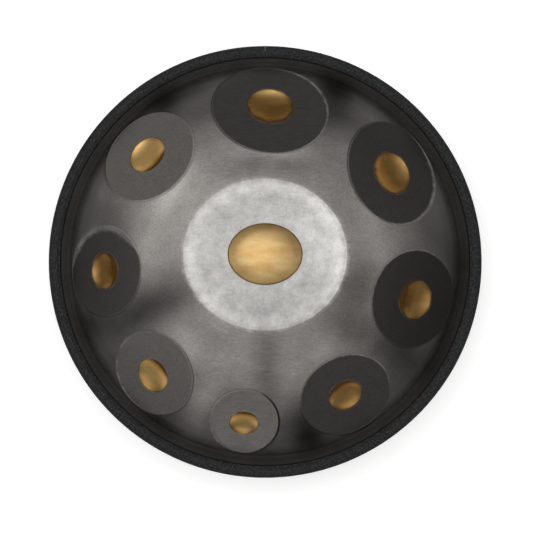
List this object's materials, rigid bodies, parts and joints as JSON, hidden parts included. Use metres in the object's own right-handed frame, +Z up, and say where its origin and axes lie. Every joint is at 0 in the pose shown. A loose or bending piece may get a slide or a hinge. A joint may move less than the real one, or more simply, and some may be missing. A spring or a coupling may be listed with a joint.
{
  "type": "handpan",
  "caption": "Lens-shaped steel hand drum: two bonded half-shells, dimpled oval tone fields round a raised centre dome, a sound port below and a grained rim edging.",
  "frame": {"origin": "centre of the flat standing ring round the sound port, on the plane the instrument stands on", "axes": "+Z up, out of the playing side; -Y towards the player; +X to the player's right"},
  "size_m": [0.56, 0.56, 0.2135],
  "materials": {
    "playing_steel": "sanded nitrided steel, dark tone fields, bare centre field, brass-toned dimples and centre dome",
    "shell_steel": "brushed nitrided steel",
    "bond_adhesive": "cured black adhesive",
    "edging_rubber": "matt, pebble-grained",
    "carrier_steel": "plain spring steel strip"
  },
  "bodies": {
    "root": {"top_shell": "playing_steel", "bottom_shell": "shell_steel", "flange_bond": "bond_adhesive", "rim_edging": "edging_rubber", "edging_clip_core": "carrier_steel"}
  },
  "joints": []
}
